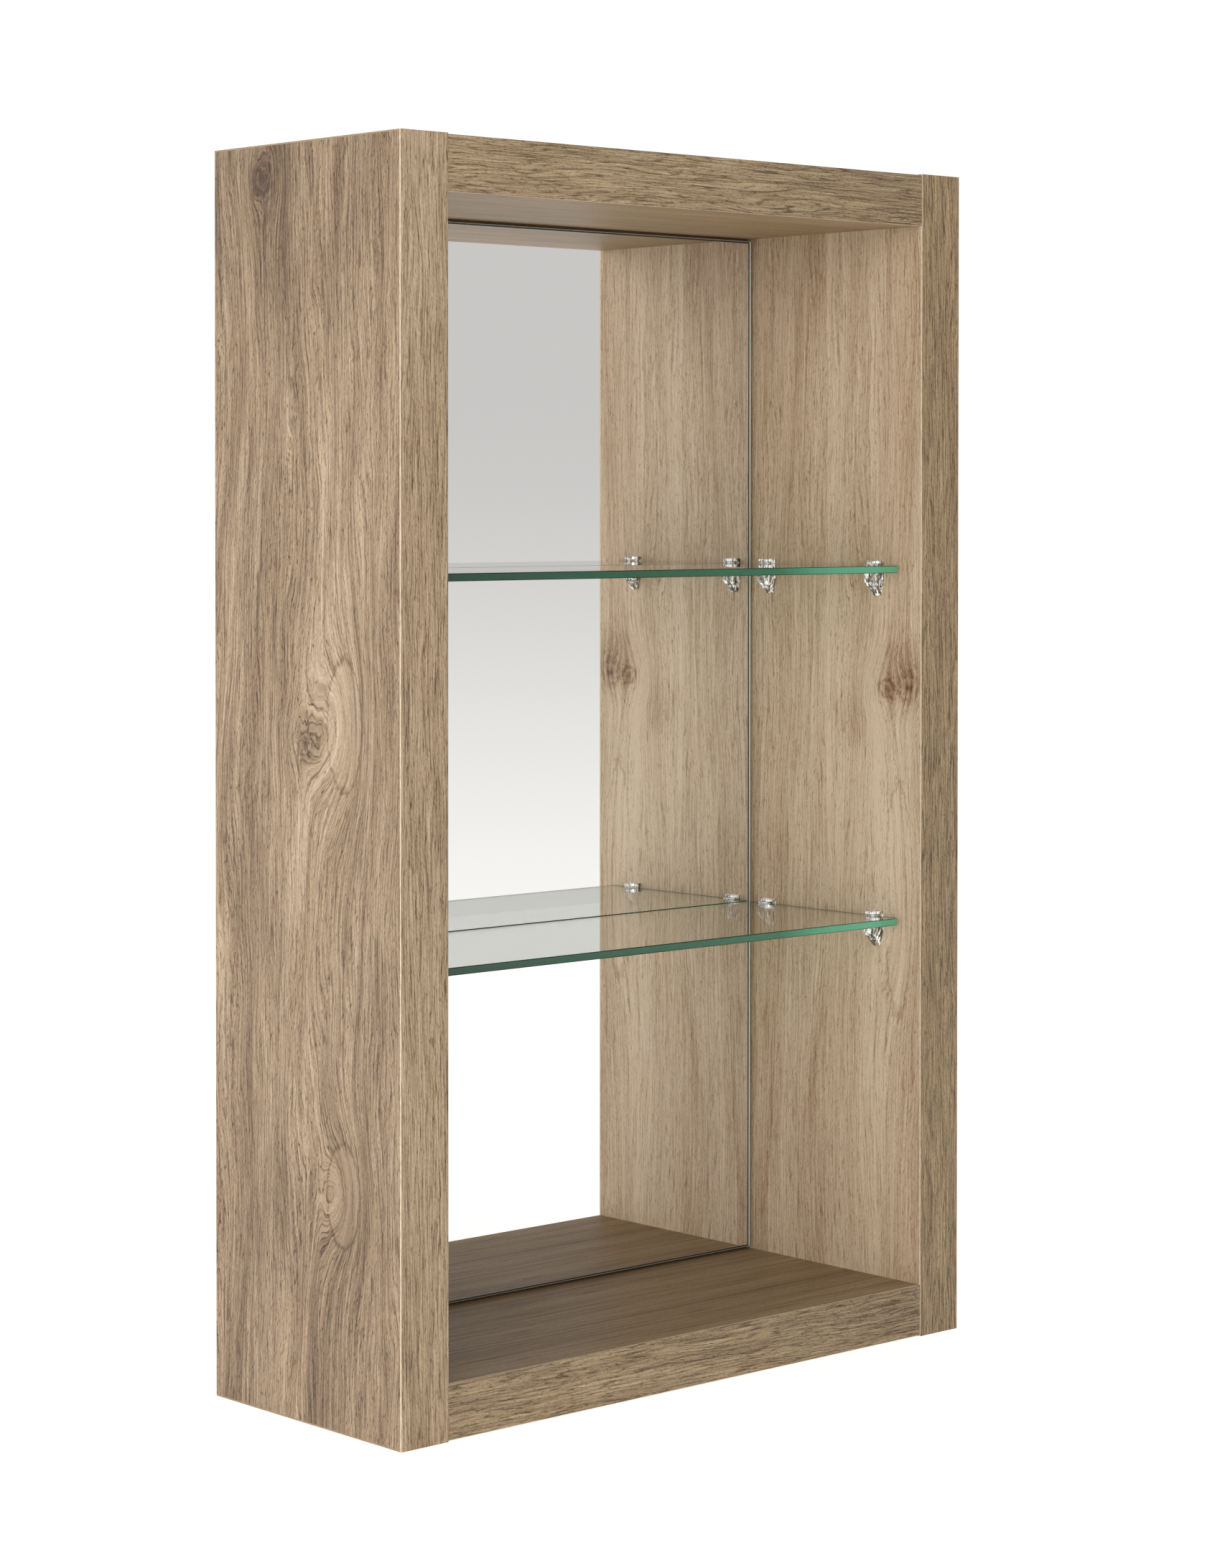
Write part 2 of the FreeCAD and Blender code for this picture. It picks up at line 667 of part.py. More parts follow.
def hanger_plate(name, hand):
    """A flat steel plate across a rear corner, with a keyhole over the open recess."""
    body = new_body("hanger_plate_" + name)
    face = rear_y - plate_sink
    outline = new_sketch(body, "XZ_Plane", -face)
    draw_rectangle(outline, *plate_corners(hand))
    pad(body, outline, plate_thick)
    dress(body, "Fillet", "Radius", plate_corner, lambda edge: runs_along(edge, 1))

    keyhole_x = (inner_x - keyhole_inwards) * hand
    entry_z = top_under - keyhole_below
    slot_z = entry_z + keyhole_rise
    entry = new_sketch(body, "XZ_Plane", -face)
    draw_circle(entry, (keyhole_x, entry_z), keyhole_radius)
    cut(body, entry, plate_thick, along_normal=True)
    slot = new_sketch(body, "XZ_Plane", -face)
    slot_low = (keyhole_x - keyhole_slot_radius, entry_z)
    slot_high = (keyhole_x + keyhole_slot_radius, slot_z)
    draw_rectangle(slot, slot_low, slot_high)
    cut(body, slot, plate_thick, along_normal=True)
    slot_end = new_sketch(body, "XZ_Plane", -face)
    draw_circle(slot_end, (keyhole_x, slot_z), keyhole_slot_radius)
    cut(body, slot_end, plate_thick, along_normal=True)
    screw_holes = new_sketch(body, "XZ_Plane", -face)
    for place in screw_places(hand).values():
        draw_circle(screw_holes, place, screw_hole_radius)
    cut(body, screw_holes, plate_thick, along_normal=True)

    def is_screw_rim(edge):
        if not isinstance(edge.Curve, Part.Circle):
            return False
        same_size = abs(edge.Curve.Radius - screw_hole_radius.number) < 1e-6
        return same_size and all_at(edge, 1, face)

    dress(body, "Chamfer", "Size", screw_sink, is_screw_rim)
    return keep(body)


def hanger_screw(name, place):
    """A countersunk wood screw with a cross recess, head at Y = 0 and point forwards."""
    body = new_body("hanger_screw_" + name)
    head_radius = screw_hole_radius + screw_sink - screw_play
    half_section = [
        (0, 0),
        (head_radius, 0),
        (screw_radius, -(head_radius - screw_radius)),
        (screw_radius, -(screw_long - screw_tip)),
        (0, -screw_long),
    ]
    outline = new_sketch(body, "XY_Plane")
    draw_polygon(outline, half_section)
    turned = body.newObject("PartDesign::Revolution", body.Label + "_turned")
    turned.Profile = outline
    turned.ReferenceAxis = (outline, ["V_Axis"])
    turned.Angle = 360
    doc.recompute()
    long_half = screw_cross_long / 2
    wide_half = screw_cross_wide / 2
    for reach, rise in ((long_half, wide_half), (wide_half, long_half)):
        cross = new_sketch(body, "XZ_Plane")
        draw_rectangle(cross, (-reach, -rise), (reach, rise))
        cut(body, cross, screw_cross_deep, along_normal=True)
    move(body, x=place[0], y=rear_y - plate_sink, z=place[1])
    return body


# Assembly

for name, hand in hands.items():
    side_panel(name, hand)
    end_band(name, hand, "bottom", base)
    end_band(name, hand, "top", case_height - end_band_thick)
    start_x = inner_x if hand > 0 else -outer_x
    low = (start_x, base)
    high = (start_x + side_thick, case_height)
    front_band("front_band_" + name, low, high, front_y)
    hanger_plate(name, hand)

board("top", top_under, case_height - board_shy, top_under)
board("bottom", board_shy, board_shy, bottom_top)
front_band("front_band_top", (-inner_x, top_under), (inner_x, case_height - board_shy),
           board_front)
front_band("front_band_bottom", (-inner_x, board_shy), (inner_x, bottom_top), board_front)

back_half = inner_x + back_bite
back_low = (-back_half, back_y, bottom_top - back_bite)
back_high = (back_half, back_y + back_thick, top_under + back_bite)
keep(plain_box("back_panel", back_low, back_high))
mirror()

strips = []
tape_low = case_height / 2 - tape_length / 2
for number in (-1, 0, 1):
    start = tape_spacing * number - tape_width / 2
    low = (start, tape_y, tape_low)
    high = (start + tape_width, back_y, tape_low + tape_length)
    strips.append(plain_box("tape_strip_%d" % (number + 2), low, high))
joined_group("mirror_tape", strips)

for level, height in shelf_heights.items():
    glass_shelf(level, height)
    for name, hand in hands.items():
        for place, y in clip_ys.items():
            shelf_clip("shelf_clip_%s_%s_%s" % (level, name, place), hand, y, height)

bolts = []
cams = []
caps = {"top": [], "bottom": []}
dowels = []
for where, up in (("top", 1), ("bottom", -1)):
    middle = board_middles[where]
    face = middle + board_thick / 2 * up
    for name, hand in hands.items():
        x = (inner_x - cam_inset) * hand
        for number, y in enumerate(cam_ys, start=1):
            member = "%s_%s_%d" % (where, name, number)
            bolts.append(cam_bolt(member, hand, y, middle))
            cams.append(cam(member, hand, x, y, face, up))
            caps[where].append(cam_cap(member, x, y, face, up))
        for number, y in enumerate(dowel_ys, start=1):
            dowels.append(dowel("%s_%s_%d" % (where, name, number), hand, y, middle))
joined_group("cam_bolts", bolts)
joined_group("cams", cams)
joined_group("cam_caps_top", caps["top"])
joined_group("cam_caps_bottom", caps["bottom"])
joined_group("wooden_dowels", dowels)

screws = []
for name, hand in hands.items():
    for where, place in screw_places(hand).items():
        screws.append(hanger_screw("%s_%s" % (name, where), place))
joined_group("hanger_screws", screws)

doc.recompute()
for item in doc.Objects:
    bad_states = {"Invalid", "Error"} & set(item.State)
    if bad_states:
        raise RuntimeError("%s did not recompute: %s" % (item.Label, item.State))
for item in pieces:
    if item.Shape.isNull() or not item.Shape.isValid():
        raise RuntimeError("%s has no valid shape" % item.Label)

os.makedirs("parts", exist_ok=True)
for item in pieces:
    item.Shape.exportStep("parts/%s.step" % item.Label)
    box = item.Shape.BoundBox
    count = len(item.Shape.Solids)
    print("%-28s %d solid(s) %10.1f mm3  X %.2f..%.2f  Y %.2f..%.2f  Z %.2f..%.2f" % (
        item.Label, count, item.Shape.Volume,
        box.XMin, box.XMax, box.YMin, box.YMax, box.ZMin, box.ZMax))
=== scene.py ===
import math

import bpy
import numpy as np
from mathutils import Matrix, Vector


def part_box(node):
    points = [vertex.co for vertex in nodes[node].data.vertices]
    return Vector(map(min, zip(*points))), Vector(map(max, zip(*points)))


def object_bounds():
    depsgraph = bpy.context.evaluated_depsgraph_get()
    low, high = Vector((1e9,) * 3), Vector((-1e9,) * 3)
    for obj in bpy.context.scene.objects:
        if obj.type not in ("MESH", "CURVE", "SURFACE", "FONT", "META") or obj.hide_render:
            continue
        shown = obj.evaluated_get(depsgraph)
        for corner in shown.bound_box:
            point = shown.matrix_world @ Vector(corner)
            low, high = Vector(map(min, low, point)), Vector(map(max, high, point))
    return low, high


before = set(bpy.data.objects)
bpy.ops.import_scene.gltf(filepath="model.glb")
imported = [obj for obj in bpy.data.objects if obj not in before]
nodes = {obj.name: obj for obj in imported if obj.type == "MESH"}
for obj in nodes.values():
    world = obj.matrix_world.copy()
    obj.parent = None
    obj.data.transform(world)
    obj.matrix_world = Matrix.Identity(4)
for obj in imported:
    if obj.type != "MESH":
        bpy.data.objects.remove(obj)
cadLow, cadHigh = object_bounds()


def screenColour(red, green, blue):
    # the colour a screen shows for these 0 to 255 values, as the shader's own linear numbers
    shares = np.array([red, green, blue]) / 255
    linear = np.where(shares <= 0.04045, shares / 12.92, ((shares + 0.055) / 1.055) ** 2.4)
    return (*linear.tolist(), 1.0)


def tones(*stops):
    # the stops of a colour ramp, each given as (place, red, green, blue)
    return [(place, screenColour(*colour)) for place, *colour in stops]


class Wire:
    # one output socket: arithmetic on it adds Math nodes
    def __init__(self, finish, socket):
        self.finish = finish
        self.socket = socket

    def maths(self, operation, *values):
        return self.finish.node("Math", {"operation": operation}, dict(enumerate(values)))

    def other(self, name):
        return Wire(self.finish, self.socket.node.outputs[name])

    def __add__(self, value):
        return self.maths("ADD", self, value)

    def __sub__(self, value):
        return self.maths("SUBTRACT", self, value)

    def __rsub__(self, value):
        return self.maths("SUBTRACT", value, self)

    def __mul__(self, value):
        return self.maths("MULTIPLY", self, value)

    def __truediv__(self, value):
        return self.maths("DIVIDE", self, value)

    def __rtruediv__(self, value):
        return self.maths("DIVIDE", value, self)

    def __pow__(self, value):
        return self.maths("POWER", self, value)

    def __gt__(self, value):
        return self.maths("GREATER_THAN", self, value)

    def __neg__(self):
        return self.maths("MULTIPLY", self, -1)

    def __abs__(self):
        return self.maths("ABSOLUTE", self)

    __radd__ = __add__
    __rmul__ = __mul__


class Finish:
    # one material or world, with the few kinds of node that the finishes are put together from
    def __init__(self, name, world=False):
        store = bpy.data.worlds if world else bpy.data.materials
        self.owner = store.new(name)
        self.owner.use_nodes = True
        self.tree = self.owner.node_tree
        self.tree.nodes.clear()

    def node(self, kind, settings=None, inputs=None, output=0):
        made = self.tree.nodes.new("ShaderNode" + kind)
        for key, value in (settings or {}).items():
            if key == "stops":
                self.fillRamp(made.color_ramp, value)
            else:
                setattr(made, key, value)
        for key, value in (inputs or {}).items():
            if isinstance(value, Wire):
                self.tree.links.new(value.socket, made.inputs[key])
            else:
                made.inputs[key].default_value = value
        return Wire(self, made.outputs[output]) if made.outputs else made

    def fillRamp(self, ramp, stops):
        while len(ramp.elements) < len(stops):
            ramp.elements.new(0.5)
        for element, (place, colour) in zip(ramp.elements, stops):
            element.position = place
            element.color = colour

    def place(self):
        # the three object coordinates in millimetres
        split = self.node("SeparateXYZ", {}, {0: self.node("TexCoord", output="Object")})
        return [split.other(axis) * 1000 for axis in "XYZ"]

    def facing(self):
        # how far the surface faces along each axis, from 0 to 1
        split = self.node("SeparateXYZ", {}, {0: self.node("TexCoord", output="Normal")})
        return [abs(split.other(axis)) for axis in "XYZ"]

    def join(self, x, y, z):
        return self.node("CombineXYZ", {}, {0: x, 1: y, 2: z})

    def scaled(self, place, *sizes):
        # the place counted in these sizes: one size for all three axes, or one for each
        sizes = sizes * 3 if len(sizes) == 1 else sizes
        return self.join(*[line / size for line, size in zip(place, sizes)])

    def noise(self, place, detail=2.0, roughness=0.5, distortion=0.0):
        values = {"Vector": place, "Scale": 1.0, "Detail": detail, "Roughness": roughness,
                  "Distortion": distortion}
        return self.node("TexNoise", {}, values)

    def cells(self, place, output="Distance"):
        return self.node("TexVoronoi", {}, {"Vector": place, "Scale": 1.0}, output)

    def cellTone(self, place):
        # one even grey for each cell
        return self.node("SeparateColor", {}, {0: self.cells(place, "Color")})

    def step(self, value, low, high):
        # 0 below low and 1 above high, with a soft run between
        values = {"Value": value, "From Min": low, "From Max": high}
        return self.node("MapRange", {"interpolation_type": "SMOOTHSTEP"}, values)

    def ramp(self, value, stops):
        return self.node("ValToRGB", {"stops": stops}, {0: value})

    def blend(self, share, under, over, kind="MIX"):
        settings = {"data_type": "RGBA", "blend_type": kind, "clamp_result": False}
        return self.node("Mix", settings, {0: share, 6: under, 7: over}, output=2)

    def larger(self, first, second):
        return self.node("Math", {"operation": "MAXIMUM"}, {0: first, 1: second})

    def fraction(self, value):
        return self.node("Math", {"operation": "FRACT"}, {0: value})

    def hump(self, du, dv):
        # exp(-(du squared + dv squared)): 1 in the middle, fading smoothly all round
        return self.node("Math", {"operation": "EXPONENT"}, {0: -(du ** 2 + dv ** 2)})

    def bump(self, height, depth):
        return self.node("Bump", {}, {"Height": height, "Distance": depth, "Strength": 1.0})

    def surface(self, values):
        return self.node("BsdfPrincipled", {}, values)

    def done(self, shader, volume=None):
        links = {"Surface": shader}
        if volume is not None:
            links["Volume"] = volume
        kind = "OutputWorld" if isinstance(self.owner, bpy.types.World) else "OutputMaterial"
        self.node(kind, {}, links)
        return self.owner


def named(*starts):
    return [name for name in nodes if name.startswith(starts)]


def dress(finish, *names):
    for name in names:
        slots = nodes[name].data.materials
        if len(slots) == 0:
            slots.append(finish)
        for slot in nodes[name].material_slots:
            slot.material = finish


oakTones = tones((0.00, 78, 58, 39), (0.22, 114, 91, 68), (0.45, 150, 126, 99),
                 (0.68, 181, 157, 129), (1.00, 212, 191, 163))
wallTones = tones((0.00, 92, 62, 36), (0.22, 128, 97, 67), (0.45, 156, 129, 99),
                  (0.68, 183, 160, 132), (1.00, 212, 194, 168))

boardGrain = {
    # across and along sizes of each kind of mark in mm, then how dark it is
    "fibre": (2.3, 70, 0.22), "thread": (1.4, 38, 0.26), "hair": (0.8, 9, 0.46),
    "streak": (1.8, 64, 0.40), "cloud": (9, 95, 0.32), "broad": (38, 480, 0.30),
    "grit": (0.7, 1.5, 0.24), "arch": (12.0, 0.30), "wander": 0.85, "tone": 0.59, "tones": oakTones,
    "gloss": 0.46, "depth": 0.00009,
    # each slow wander of the grain: across and along sizes, how far it goes in mm, and its place
    # in the noise; wander scales them all
    "drift": [(75, 270, 44, 1), (24, 75, 9, 3), (8, 34, 2, 5)],
}
wallGrain = dict(boardGrain, fibre=(2.2, 60, 0.18), thread=(1.3, 34, 0.22), hair=(0.8, 10, 0.40),
                 streak=(1.4, 70, 0.40), cloud=(8, 130, 0.20), wander=0.6, tones=wallTones)
quietGrain = dict(boardGrain, fibre=(1.9, 260, 0.22), thread=(1.2, 120, 0.20), hair=(0.7, 60, 0.18),
                  streak=(1.3, 320, 0.34), cloud=(7, 300, 0.12), broad=(30, 900, 0.12),
                  arch=(11.0, 0.0), wander=0.25)
bandGrain = dict(boardGrain, fibre=(2.2, 60, 0.24), thread=(1.3, 34, 0.36), hair=(0.8, 10, 0.36),
                 streak=(1.3, 44, 0.40), cloud=(6, 90, 0.16), broad=(30, 300, 0.10),
                 arch=(11.0, 0.0), wander=0.3, tone=0.50)

knotLook = {
    # how far the grain is pushed aside, then how dark each part of a knot is
    "push": 0.85, "heart": 0.36, "rim": 0.44, "collar": 0.10, "ripple": 0.10, "trail": 0.10,
}
eyeLook = {
    # how much quieter the grain is inside an oval, and how dark the line round it is
    "calm": 0.55, "outline": 0.20,
}

chipLook = {
    "tones": tones((0.0, 126, 99, 70), (0.4, 176, 148, 112), (0.7, 200, 174, 138), (1.0, 222, 202, 170)),
    "flake": (1.6, 1.6, 3.4), "grit": 0.5, "gapDark": 0.35,
}


def chipCore(finish, place, look):
    # pressed flakes: stretched cells, each with its own tone, with dark gaps between some
    spread = finish.scaled(place, *look["flake"])
    gap = finish.cells(spread)
    grit = finish.noise(finish.scaled(place, look["grit"]), 3)
    tone = finish.cellTone(spread) * 0.6 + grit * 0.4 - finish.step(gap, 0.55, 0.85) * look["gapDark"]
    return finish.ramp(tone, look["tones"]), gap


def oakDecor(node, look):
    # The decor is on the two wide faces. The other faces show edge tones, or chipboard if there
    # are none. Every mark follows one flow field: the place across the board, wandering, lifted in
    # a smooth hump at each eye, where the year rings close in long ovals, and pushed aside at each
    # knot.
    # axes: across the grain, along it, and through the board
    # eyes: (across, along, half width, half length, lift, face)
    # knots: (across, along, half width, half height, face)
    # bands: (across, width, lift, face), even paler or darker strips, some of them painted light
    # patches: (across, along, half width, half length, lift, face), soft paler or darker areas, some of
    # them painted light or shade
    # face is -1 for the lower of the two wide faces along the board's own axis, 1 for the upper
    finish = Finish(look["name"])
    grain, axes = look["grain"], look["axes"]
    place = finish.place()
    facing = finish.facing()
    across, along, through = [place[axis] for axis in axes]
    middle = 0.5 * sum(corner[axes[2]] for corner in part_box(node)) * 1000
    side = through > middle
    sheet = side * 17.3 + look["seed"]

    def field(width, length, shift, u=across, detail=2.0):
        # noise drawn out along the grain, its rows staggered so that no two marks line up
        step = u / width
        return finish.noise(finish.join(step, along / length + step * 0.618, sheet + shift), detail)

    drift = 0.0
    for width, length, reach, shift in grain["drift"]:
        drift = drift + (field(width, length, shift) - 0.5) * reach
    drift = drift * grain["wander"]
    flow = across + drift
    arched = calm = dark = 0.0
    rough = field(5, 5, 9, detail=3.0)
    for eyeU, eyeV, wide, high, lift, face in look.get("eyes", ()):
        here = side if face > 0 else 1 - side
        swell = finish.hump((across - eyeU) / wide, (along - eyeV) / high) * here
        flow = flow + swell * lift
        arched = arched + swell
        calm = calm + finish.step(swell, 0.55, 0.68)
        line = 1 - finish.step(abs(swell + rough * 0.2 - 0.7), 0.0, 0.05)
        dark = dark + line * eyeLook["outline"]
    for knotU, knotV, wide, high, face in look.get("knots", ()):
        here = side if face > 0 else 1 - side
        du = across - knotU
        dv = along - knotV
        flow = flow - du * finish.hump(du / (wide * 2.4), dv / (high * 3.2)) * here * knotLook["push"]
        reach = ((du / wide) ** 2 + (dv / high) ** 2) ** 0.5 + (rough - 0.5) * 0.9
        ring = finish.node("Math", {"operation": "SINE"}, {0: reach * 11 + rough * 5})
        heart = 1 - finish.step(reach, 0.12, 0.5)
        rim = 1 - finish.step(abs(reach - 0.85), 0.0, 0.22)
        collar = 1 - finish.step(reach, 0.6, 2.2)
        trail = finish.hump(du / (wide * 1.9), dv / (high * 4.2))
        knot = heart * knotLook["heart"] + rim * rough * knotLook["rim"] + trail * knotLook["trail"]
        knot = knot + collar * (ring * knotLook["ripple"] + knotLook["collar"])
        dark = dark + knot * here

    def fading(width, length, shift):
        # where a mark is pressed home and where it dies away along its length
        return finish.step(field(width, length, shift, flow), 0.38, 0.60) * 0.85 + 0.15

    def strands(mark, shift):
        # nearly even dark lines, spread and gathered by a slow noise
        width, length, share = mark
        turn = finish.fraction(flow / width + field(width * 4, length, shift, flow) * 5)
        line = 1 - finish.step(abs(turn - 0.5), 0.0, 0.24)
        return line * fading(width * 1.4, length * 0.45, shift + 2) * share

    def threads(mark, shift):
        # uneven thin lines, where a stretched noise crosses its middle
        width, length, share = mark
        cross = abs(field(width, length, shift, flow, 0.0) - 0.5)
        line = 1 - finish.step(cross, 0.0, 0.06)
        return line * fading(width * 1.3, length * 0.6, shift + 2) * share

    def shade(mark, shift, detail):
        width, length, share = mark
        return (field(width, length, shift, flow, detail) - 0.5) * share * 2

    rings, ringShare = grain["arch"]
    turn = finish.fraction(flow / rings + rough * 0.25)
    arch = (1 - finish.step(abs(turn - 0.5), 0.0, 0.13)) * (arched + 0.10)
    arch = arch * finish.step(field(12, 60, 13), 0.34, 0.60) * ringShare
    pore = strands(grain["fibre"], 21) + threads(grain["thread"], 27) + threads(grain["hair"], 41)
    pore = pore * (1 - calm * eyeLook["calm"])
    streak = shade(grain["streak"], 33, 4.0)
    tone = shade(grain["broad"], 15, 2.0) + shade(grain["cloud"], 31, 3.0) + streak + grain["tone"]
    tone = tone + shade(grain["grit"], 35, 2.0)
    for bandU, width, lift, face in look.get("bands", ()):
        here = side if face > 0 else 1 - side
        away = abs(across + drift * 0.15 - bandU) / (width / 2)
        tone = tone + (1 - finish.step(away, 0.95, 1.05)) * here * lift
    for patchU, patchV, wide, high, lift, face in look.get("patches", ()):
        here = side if face > 0 else 1 - side
        tone = tone + finish.hump((flow - patchU) / wide, (along - patchV) / high) * here * lift
    tone = tone - pore - arch - dark
    colour = finish.ramp(tone, grain["tones"])
    warmth = finish.step(field(50, 200, 23), 0.35, 0.65)
    colour = finish.blend(warmth * 0.5, colour, screenColour(250, 246, 240), "MULTIPLY")
    colour = finish.blend(1.0, colour, screenColour(*look["tint"]), "MULTIPLY")

    decor = finish.step(facing[axes[2]], 0.55, 0.8)
    height = (1 - pore) * decor
    if "edge" in look:
        under = finish.ramp(finish.noise(finish.scaled(place, 0.7, 0.7, 3), 2), look["edge"])
    else:
        under, gap = chipCore(finish, place, chipLook)
        height = height + (1 - decor) * (1 - gap) * 2
    colour = finish.blend(decor, under, colour)
    roughness = grain["gloss"] + pore * 0.4 + streak * 0.12 + (1 - decor) * 0.25
    shader = finish.surface({
        "Base Color": colour, "Roughness": roughness, "Specular IOR Level": 0.45,
        "Normal": finish.bump(height, grain["depth"]),
    })
    return finish.done(shader)


paleEdge = tones((0.3, 190, 170, 142), (0.7, 226, 210, 184))
oakEdge = tones((0.3, 142, 120, 94), (0.7, 170, 146, 118))
oakBoards = {
    "side_panel_left": {
        "name": "oakSideLeft", "grain": boardGrain, "axes": (1, 2, 0), "seed": 2.0,
        "tint": (253, 254, 255),
        "eyes": [(-31, 350, 19, 46, 22, -1), (-30, 118, 18, 36, 28, -1)],
        "knots": [(35, 623, 7, 8, -1), (0, 340, 6.5, 6.5, -1)],
        "patches": [(0, 40, 160, 170, -0.13, -1), (0, 640, 160, 70, -0.11, -1)],
    },
    "side_panel_right": {
        "name": "oakSideRight", "grain": wallGrain, "axes": (1, 2, 0), "seed": 31.0,
        "tint": (255, 253, 252),
        "eyes": [(-58, 240, 14, 90, 9, -1)],
        "knots": [(-65, 357.6, 8.5, 8, -1), (-48.5, 356.8, 6, 5, -1)],
        # painted light on the inner face: the first, broad band lifts the whole face, and the first patch
        # brightens its middle front, where light falls in through the open front. The narrow bands and the
        # two small dark patches by the knots are the decor's own, and the last patch darkens the face
        # towards the bottom
        "bands": [(0, 400, 0.185, -1), (-26, 46, 0.16, -1), (12, 34, 0.03, -1), (-55, 9, 0.05, -1)],
        "patches": [(-40, 310, 60, 90, 0.11, -1), (-24, 338, 13, 16, -0.20, -1),
                    (-61, 370, 14, 16, -0.20, -1), (0, 90, 160, 100, -0.07, -1)],
    },
    "top_panel": {
        "name": "oakTopPanel", "grain": dict(quietGrain, tone=0.56), "axes": (1, 0, 2), "seed": 60.0,
        "tint": (255, 253, 238),
    },
    # the bottom panel's lower tone is painted shade: its upper face lies under the top panel, out of the
    # lamps' light
    "bottom_panel": {
        "name": "oakBottomPanel", "grain": dict(quietGrain, tone=0.44), "axes": (1, 0, 2), "seed": 69.0,
        "tint": (255, 253, 238),
    },
    "front_band_left": {
        "name": "oakBandLeft", "grain": dict(bandGrain, tone=0.585), "axes": (0, 2, 1), "seed": 80.0,
        "tint": (251, 253, 250), "edge": paleEdge,
    },
    # partly the edging's own darker decor and partly painted shade: this right band is darker, as the light
    # falls off away from the lamp at the left
    "front_band_right": {
        "name": "oakBandRight", "grain": dict(bandGrain, tone=0.43), "axes": (0, 2, 1), "seed": 87.0,
        "tint": (252, 255, 243), "edge": paleEdge,
    },
    # the patch darkens the right end of this band: partly its own decor, partly painted shade falling off
    # away from the lamp at the left
    "front_band_top": {
        "name": "oakBandTop", "grain": dict(bandGrain, tone=0.505), "axes": (2, 0, 1), "seed": 94.0,
        "tint": (251, 255, 246), "edge": paleEdge, "patches": [(625, 170, 90, 150, -0.09, -1)],
    },
    # the patch darkens the right end of this band: partly its own decor, partly painted shade falling off
    # away from the lamp at the left
    "front_band_bottom": {
        "name": "oakBandBottom", "grain": dict(bandGrain, tone=0.48), "axes": (2, 0, 1), "seed": 101.0,
        "tint": (251, 255, 245), "edge": paleEdge, "patches": [(14, 170, 90, 150, -0.09, -1)],
    },
}
for index, node in enumerate(sorted(named("end_band"))):
    oakBoards[node] = {
        "name": "oakEnd" + str(index + 1), "grain": bandGrain, "axes": (0, 1, 2),
        "seed": 120.0 + index * 7, "tint": (255, 255, 246), "edge": oakEdge,
    }

print("oak boards and edge bands")
for node, look in oakBoards.items():
    dress(oakDecor(node, look), node)


hardboardLook = {
    "tones": tones((0.25, 84, 56, 36), (0.5, 122, 86, 56), (0.75, 152, 114, 78)),
    "cloud": 45, "fibre": (2.2, 0.7), "fleck": 0.9,
}


def hardboard(look):
    # brown pressed fibre: short felted threads, lying both ways, over soft clouds
    finish = Finish("hardboard")
    place = finish.place()
    cloud = finish.noise(finish.scaled(place, look["cloud"]), 3)
    long, short = look["fibre"]
    felt = finish.noise(finish.scaled(place, long, long, short), 4, 0.6, 1.5)
    cross = finish.noise(finish.scaled(place, short, short, long), 4, 0.6, 1.5)
    fleck = finish.noise(finish.scaled(place, look["fleck"]), 1)
    tone = cloud * 0.2 + felt * 0.4 + cross * 0.4 - finish.step(fleck, 0.66, 0.74) * 0.2
    shader = finish.surface({"Base Color": finish.ramp(tone, look["tones"]), "Roughness": 0.52 + felt * 0.2,
                             "Normal": finish.bump(felt + cross, 0.00005)})
    return finish.done(shader)


mirrorLook = {
    "silver": (247, 246, 244), "line": (48, 44, 38),
    "ground": tones((0.3, 164, 178, 170), (0.7, 222, 230, 226)),
    "paint": tones((0.3, 92, 97, 100), (0.7, 116, 121, 124)),
    "paleStrip": 1.7, "darkLine": 0.9, "endGapShade": 1.3,
}


def silveredGlass(look):
    # bright in front, ground green-grey on its edges, grey backing paint behind. The ground edge
    # shows through the pane as a pale strip at each side, with a dark line just inside it. The last
    # millimetre above and below is painted dark: painted shade of the gap between the pane and the boards
    finish = Finish("silveredGlass")
    place = finish.place()
    x, z = place[0], place[2]
    split = finish.node("SeparateXYZ", {}, {0: finish.node("TexCoord", output="Normal")})
    front = finish.step(-split.other("Y"), 0.9, 0.97)
    back = finish.step(split.other("Y"), 0.9, 0.97)
    low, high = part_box("mirror")
    inFromSide = high.x * 1000 - abs(x)
    inFromEnd = (high.z - low.z) * 500 - abs(z - (low.z + high.z) * 500)

    def within(distance, limit):
        return 1 - finish.step(distance, limit - 0.1, limit + 0.1)

    strip = within(inFromSide, look["paleStrip"])
    line = within(inFromSide, look["paleStrip"] + look["darkLine"]) - strip
    # painted shade: a dark line along the top and bottom ends, for the gap between the pane and the boards
    gap = within(inFromEnd, look["endGapShade"])
    dull = finish.larger(strip, finish.larger(line, gap))
    grind = finish.noise(finish.scaled(place, 0.5, 0.25, 0.5), 3)
    smear = finish.step(finish.noise(finish.scaled(place, 60, 60, 25), 3), 0.5, 0.8)
    edge = finish.ramp(grind, look["ground"])
    paint = finish.ramp(finish.noise(finish.scaled(place, 8), 3), look["paint"])
    colour = finish.blend(back, edge, paint)
    seen = finish.blend(dull, screenColour(*look["silver"]), edge)
    seen = finish.blend(finish.larger(line, gap * (1 - strip)), seen, screenColour(*look["line"]))
    colour = finish.blend(front, colour, seen)
    silver = front * (1 - dull)
    shader = finish.surface({
        "Base Color": colour, "Metallic": silver * 0.999,
        "Roughness": silver * (smear * 0.012 - 0.29) + 0.3,
        "Normal": finish.bump(grind * (1 - silver), 0.00003),
    })
    return finish.done(shader)


